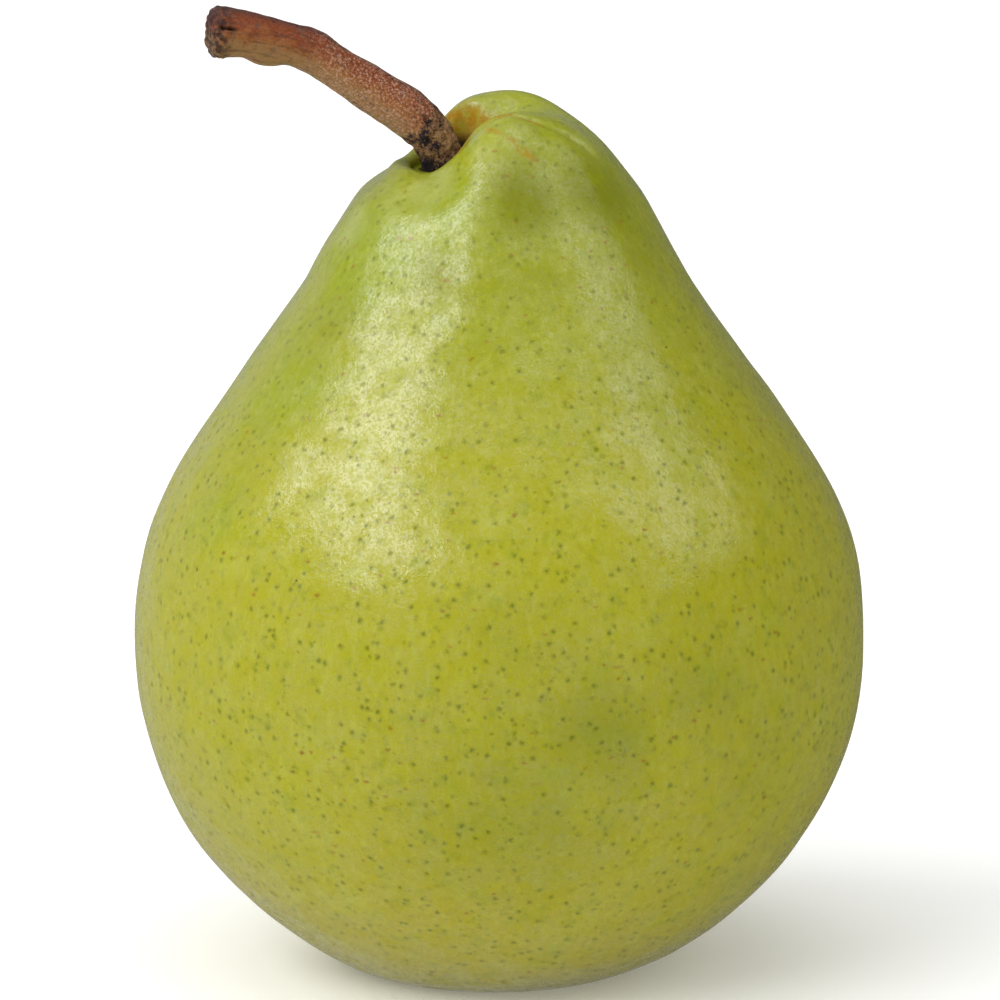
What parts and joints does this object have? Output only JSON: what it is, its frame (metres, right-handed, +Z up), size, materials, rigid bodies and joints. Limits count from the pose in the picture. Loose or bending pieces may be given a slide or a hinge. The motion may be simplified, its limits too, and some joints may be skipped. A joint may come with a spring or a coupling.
{
  "type": "pear",
  "caption": "Green short-necked pear with a bent woody stem in a folded crown, a dried calyx in its basin, and a small flat ring to stand on.",
  "frame": {"origin": "on the surface that the pear stands on, below the middle of the belly", "axes": "+Z up along the fruit, +X to the right in the front view, -Y towards the viewer; the stem leans towards -X"},
  "size_m": [0.0762, 0.0762, 0.1018],
  "materials": {
    "green_skin": "waxy yellow-green skin with a satin gloss, freckled with small darker dots",
    "stem_wood": "dry red-brown bark, matte, darker and corky at its foot",
    "dry_calyx": "dried dark brown flower remains, matte"
  },
  "bodies": {
    "root": {"fruit": "green_skin", "stem": "stem_wood", "calyx": "dry_calyx"}
  },
  "joints": []
}
